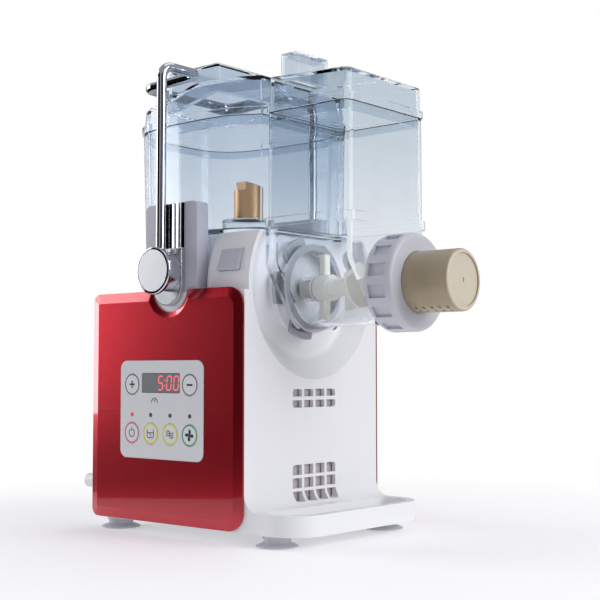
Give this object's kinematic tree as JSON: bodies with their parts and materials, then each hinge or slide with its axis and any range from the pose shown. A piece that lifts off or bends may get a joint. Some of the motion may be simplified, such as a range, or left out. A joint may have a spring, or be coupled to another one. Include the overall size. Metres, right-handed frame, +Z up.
{
  "type": "electric pasta maker",
  "caption": "Electric pasta maker: white housing with red panels, clear mixing bowl and side chamber, swinging chrome bail, screw drive and a pierced die cap.",
  "frame": {"origin": "on the bench, under the middle of the machine's bounding box", "axes": "+X from the cord gland's side to the die cap, -Y is the front with the controls, +Z up"},
  "size_m": [0.2924, 0.176, 0.3315],
  "materials": {
    "white_shell": "satin moulded white plastic",
    "red_gloss": "metallic red lacquer, glossy",
    "fascia_grey": "light grey printed film",
    "key": "light grey film key",
    "dark_window": "dark display window",
    "red_led": "red indicator lens",
    "grey_led": "unlit indicator lens",
    "circuit_board": "green circuit board",
    "steel": "plain steel",
    "chrome": "polished chrome",
    "bronze": "satin bronze",
    "clear_plastic": "clear moulded plastic",
    "nylon": "natural nylon",
    "stirrer_white": "white food-grade plastic",
    "die_plastic": "translucent champagne plastic",
    "silicone": "soft whitish silicone",
    "black_plastic": "black plastic",
    "copper": "varnished copper windings"
  },
  "bodies": {
    "machine": {"housing": "white_shell", "base_plate": "white_shell", "front_panel": "red_gloss", "rear_panel": "red_gloss", "fascia": "fascia_grey", "display_window": "dark_window", "display_module": "black_plastic", "led_power": "red_led", "led_lenses": "grey_led", "control_board": "circuit_board", "key_switches": "black_plastic", "front_pillar": "white_shell", "rear_pillar": "white_shell", "front_strip": "chrome", "rear_strip": "chrome", "front_knob_base": "chrome", "rear_knob_base": "chrome", "side_chamber": "clear_plastic", "side_cover": "clear_plastic", "bronze_post": "bronze", "idler_pin": "steel", "shaft_bearings": "steel", "gearbox_frame": "steel", "motor_can": "steel", "motor_stator": "copper", "lock_ring": "white_shell", "lock_wedges": "steel", "lock_ring_screws": "steel", "cord_gland": "black_plastic", "power_supply": "circuit_board", "base_screws": "steel", "foot_front_left": "silicone", "foot_front_right": "silicone", "foot_rear_left": "silicone", "foot_rear_right": "silicone"},
    "bail": {"front_knob": "chrome", "rear_knob": "chrome", "bail_rod": "chrome"},
    "bowl": {"mixing_bowl": "clear_plastic", "bowl_seal": "silicone", "die_seal": "silicone"},
    "lid": {"bowl_lid": "clear_plastic"},
    "die": {"die_cap": "die_plastic"},
    "nut": {"die_nut": "white_shell"},
    "stirrer": {"auger": "stirrer_white", "paddle": "stirrer_white"},
    "drive": {"drive_shaft": "steel", "output_gear": "nylon"},
    "idler": {"idler_gear": "nylon"},
    "rotor": {"motor_rotor": "copper", "motor_shaft": "steel", "motor_pinion": "steel", "cooling_fan": "black_plastic"},
    "release": {"release_button": "white_shell"},
    "key_plus_body": {"key_plus": "key"},
    "key_minus_body": {"key_minus": "key"},
    "key_power_body": {"key_power": "key"},
    "key_mix_body": {"key_mix": "key"},
    "key_extrude_body": {"key_extrude": "key"},
    "key_fan_body": {"key_fan": "key"}
  },
  "joints": [
    {"name": "bail_swing", "type": "hinge", "parent": "machine", "child": "bail", "pos_m": [-0.04475, 0, 0.1795], "axis": [0, -1, 0], "range_deg": [0, 105]},
    {"name": "bowl_pull", "type": "slide", "parent": "machine", "child": "bowl", "axis": [1, 0, 0], "range_m": [0, 0.06]},
    {"name": "lid_lift", "type": "slide", "parent": "bowl", "child": "lid", "axis": [0, 0, 1], "range_m": [0, 0.06]},
    {"name": "die_draw", "type": "slide", "parent": "bowl", "child": "die", "axis": [1, 0, 0], "range_m": [0, 0.0101]},
    {"name": "nut_turn", "type": "hinge", "parent": "die", "child": "nut", "pos_m": [0.09725, 0, 0.169], "axis": [1, 0, 0], "range_deg": [0, 720]},
    {"name": "stirrer_spin", "type": "hinge", "parent": "bowl", "child": "stirrer", "pos_m": [0.05425, 0, 0.169], "axis": [1, 0, 0], "continuous": true},
    {"name": "drive_spin", "type": "hinge", "parent": "machine", "child": "drive", "pos_m": [-0.00575, 0, 0.169], "axis": [1, 0, 0], "continuous": true},
    {"name": "idler_spin", "type": "hinge", "parent": "machine", "child": "idler", "pos_m": [-0.00575, 0, 0.13025], "axis": [1, 0, 0], "continuous": true},
    {"name": "motor_spin", "type": "hinge", "parent": "machine", "child": "rotor", "pos_m": [-0.03575, 0, 0.0915], "axis": [1, 0, 0], "continuous": true},
    {"name": "release_press", "type": "slide", "parent": "machine", "child": "release", "axis": [0, 1, 0], "range_m": [0, 0.002], "stiffness_N_per_m": 500},
    {"name": "plus_press", "type": "slide", "parent": "machine", "child": "key_plus_body", "axis": [0, 1, 0], "range_m": [0, 0.0008], "stiffness_N_per_m": 300},
    {"name": "minus_press", "type": "slide", "parent": "machine", "child": "key_minus_body", "axis": [0, 1, 0], "range_m": [0, 0.0008], "stiffness_N_per_m": 300},
    {"name": "power_press", "type": "slide", "parent": "machine", "child": "key_power_body", "axis": [0, 1, 0], "range_m": [0, 0.0008], "stiffness_N_per_m": 300},
    {"name": "mix_press", "type": "slide", "parent": "machine", "child": "key_mix_body", "axis": [0, 1, 0], "range_m": [0, 0.0008], "stiffness_N_per_m": 300},
    {"name": "extrude_press", "type": "slide", "parent": "machine", "child": "key_extrude_body", "axis": [0, 1, 0], "range_m": [0, 0.0008], "stiffness_N_per_m": 300},
    {"name": "fan_press", "type": "slide", "parent": "machine", "child": "key_fan_body", "axis": [0, 1, 0], "range_m": [0, 0.0008], "stiffness_N_per_m": 300}
  ],
  "couplings": [
    {"joint": "die_draw", "follows": "nut_turn", "m_per_rad": 0.00079577},
    {"joint": "idler_spin", "follows": "motor_spin", "ratio": -0.24},
    {"joint": "drive_spin", "follows": "motor_spin", "ratio": 0.07},
    {"joint": "stirrer_spin", "follows": "motor_spin", "ratio": 0.07}
  ]
}
